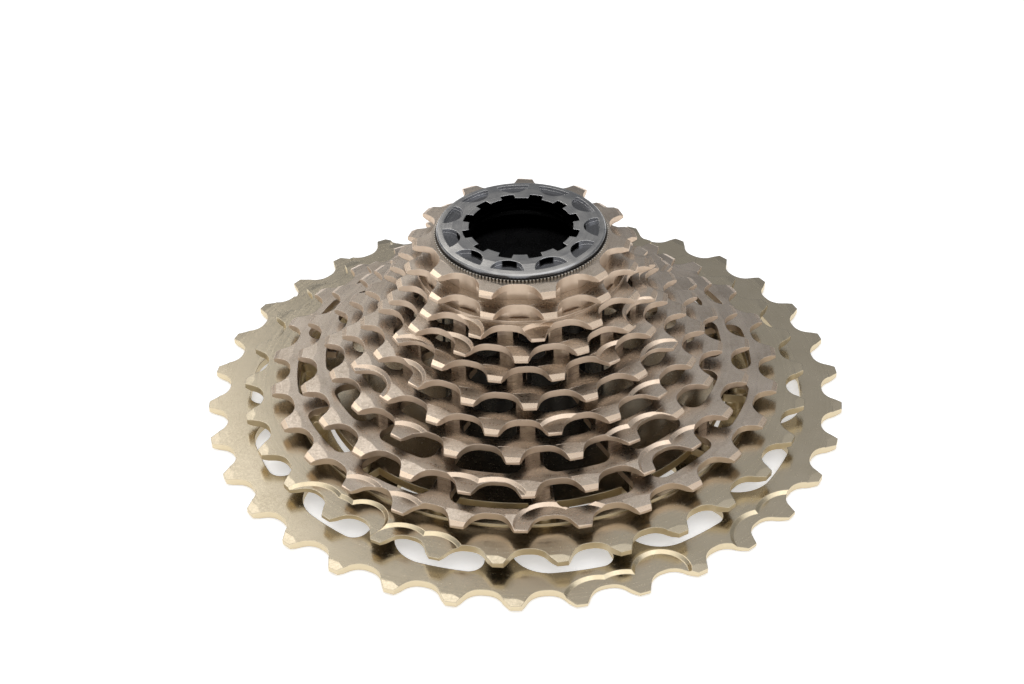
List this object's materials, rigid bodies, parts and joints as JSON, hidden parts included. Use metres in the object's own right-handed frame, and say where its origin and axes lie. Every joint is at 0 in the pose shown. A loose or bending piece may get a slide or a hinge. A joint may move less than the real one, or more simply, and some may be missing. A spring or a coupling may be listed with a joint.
{
  "type": "bicycle cassette",
  "caption": "Wide-range bicycle sprocket cassette: stacked toothed rings on a splined core, held by a screw-in lockring with a notched tool socket.",
  "frame": {"origin": "on the cassette axis, at the back face of the largest sprocket, on which the part stands", "axes": "+Z along the axis towards the small sprockets and the lockring; -Y is the front"},
  "size_m": [0.138, 0.138, 0.0437],
  "materials": {
    "nickel_plated_steel": "satin nickel plating, warm grey",
    "champagne_anodised_aluminium": "satin champagne anodising",
    "grey_anodised_aluminium": "satin grey anodising",
    "washer_steel": "bright serrated rim",
    "pin_steel": "bright, swaged flush",
    "black_core": "gloss black"
  },
  "bodies": {
    "cassette": {"sprocket_11t": "nickel_plated_steel", "sprocket_12t": "nickel_plated_steel", "sprocket_13t": "nickel_plated_steel", "sprocket_14t": "nickel_plated_steel", "sprocket_15t": "nickel_plated_steel", "sprocket_17t": "nickel_plated_steel", "sprocket_19t": "nickel_plated_steel", "sprocket_21t": "nickel_plated_steel", "sprocket_24t": "nickel_plated_steel", "sprocket_27t": "nickel_plated_steel", "sprocket_30t": "champagne_anodised_aluminium", "sprocket_34t": "champagne_anodised_aluminium", "posts_13t": "nickel_plated_steel", "posts_14t": "nickel_plated_steel", "posts_15t": "nickel_plated_steel", "posts_17t": "nickel_plated_steel", "posts_19t": "nickel_plated_steel", "posts_21t": "nickel_plated_steel", "posts_24t": "nickel_plated_steel", "carrier_pins": "pin_steel", "splined_core": "black_core"},
    "washer": {"lock_washer": "washer_steel"},
    "ring": {"lockring": "grey_anodised_aluminium"}
  },
  "joints": [
    {"name": "lockring_lift", "type": "slide", "parent": "cassette", "child": "washer", "axis": [0, 0, 1], "range_m": [0, 0.006]},
    {"name": "lockring_turn", "type": "hinge", "parent": "washer", "child": "ring", "pos_m": [0, 0, 0.0425], "axis": [0, 0, 1], "range_deg": [0, 2160]}
  ],
  "couplings": [
    {"joint": "lockring_lift", "follows": "lockring_turn", "m_per_rad": 0.00015915}
  ]
}
